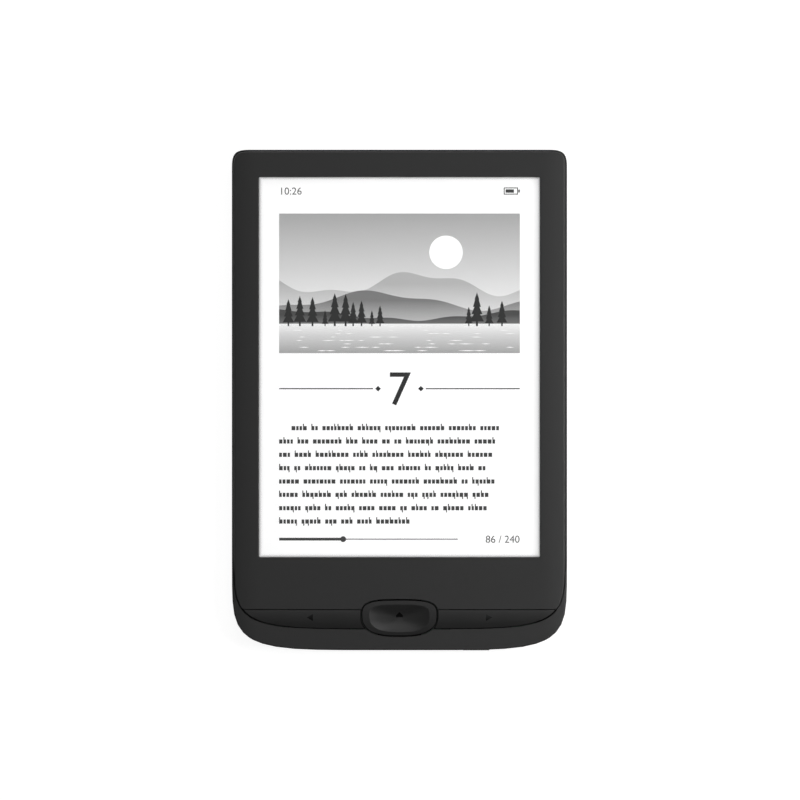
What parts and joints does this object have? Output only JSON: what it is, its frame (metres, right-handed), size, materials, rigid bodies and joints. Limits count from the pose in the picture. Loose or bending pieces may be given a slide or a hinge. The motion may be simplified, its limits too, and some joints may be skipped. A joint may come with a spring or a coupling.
{
  "type": "e-reader",
  "caption": "Slim handheld e-reader with a paper-like touch screen, a chin below it, sloped page keys, a dished home key and a power key on the bottom edge.",
  "frame": {"origin": "middle of the case's footprint, on the flat back", "axes": "+Z out of the screen, +Y to the top of the page, +X to the right of the page"},
  "size_m": [0.108, 0.1614, 0.008],
  "materials": {
    "case_plastic": "fine matte grain",
    "touch_glass": "anti-glare",
    "clear_plastic": "clear",
    "e_paper": "matt, paper white under its front light",
    "display_glass": "dark",
    "foam": "matt",
    "flex": "amber",
    "chassis_metal": "brushed",
    "steel": "plated",
    "board": "green lacquer",
    "chip": "moulded",
    "cream_plastic": "moulded",
    "cell_foil": "pouch foil",
    "red_cover": "wire insulation",
    "black_cover": "wire insulation"
  },
  "bodies": {
    "case": {"battery_cell": "cell_foil", "battery_guard_board": "board", "battery_lead_black": "black_cover", "battery_lead_red": "red_cover", "battery_plug": "cream_plastic", "battery_tape": "foam", "board_screw_left_low": "steel", "board_screw_left_top": "steel", "board_screw_right_low": "steel", "board_screw_right_top": "steel", "card_socket": "steel", "case_screw_left_low": "steel", "case_screw_left_mid": "steel", "case_screw_left_top": "steel", "case_screw_right_low": "steel", "case_screw_right_mid": "steel", "case_screw_right_top": "steel", "chassis": "chassis_metal", "display_backplane": "display_glass", "display_connector": "cream_plastic", "display_flex": "flex", "display_gasket": "foam", "epaper_film": "e_paper", "front_bezel": "case_plastic", "frontlight_connector": "cream_plastic", "frontlight_flex": "flex", "frontlight_strip": "flex", "home_switch": "steel", "left_page_switch": "steel", "light_guide": "clear_plastic", "main_board": "board", "memory_chip": "chip", "power_chip": "chip", "power_switch": "steel", "processor_chip": "chip", "processor_shield": "steel", "rear_cover": "case_plastic", "right_page_switch": "steel", "status_led": "cream_plastic", "status_light_pipe": "clear_plastic", "storage_chip": "chip", "touch_connector": "cream_plastic", "touch_flex": "flex", "touch_panel": "touch_glass", "usb_shell": "steel", "usb_tongue": "chip", "wifi_antenna": "steel", "wifi_module": "steel"},
    "home_key": {"home_key": "case_plastic", "home_switch_plunger": "cream_plastic"},
    "left_page_key": {"left_page_key": "case_plastic", "left_page_switch_plunger": "cream_plastic"},
    "right_page_key": {"right_page_key": "case_plastic", "right_page_switch_plunger": "cream_plastic"},
    "power_key": {"power_key": "case_plastic", "power_switch_plunger": "cream_plastic"}
  },
  "joints": [
    {"name": "home_key_press", "type": "slide", "parent": "case", "child": "home_key", "axis": [0, 0, -1], "range_m": [0, 0.00035], "stiffness_N_per_m": 800, "springref_m": -0.0012},
    {"name": "left_page_key_press", "type": "slide", "parent": "case", "child": "left_page_key", "axis": [0, 0, -1], "range_m": [0, 0.00035], "stiffness_N_per_m": 800, "springref_m": -0.0012},
    {"name": "right_page_key_press", "type": "slide", "parent": "case", "child": "right_page_key", "axis": [0, 0, -1], "range_m": [0, 0.00035], "stiffness_N_per_m": 800, "springref_m": -0.0012},
    {"name": "power_key_press", "type": "slide", "parent": "case", "child": "power_key", "axis": [0, 1, 0], "range_m": [0, 0.00035], "stiffness_N_per_m": 800, "springref_m": -0.0012}
  ]
}
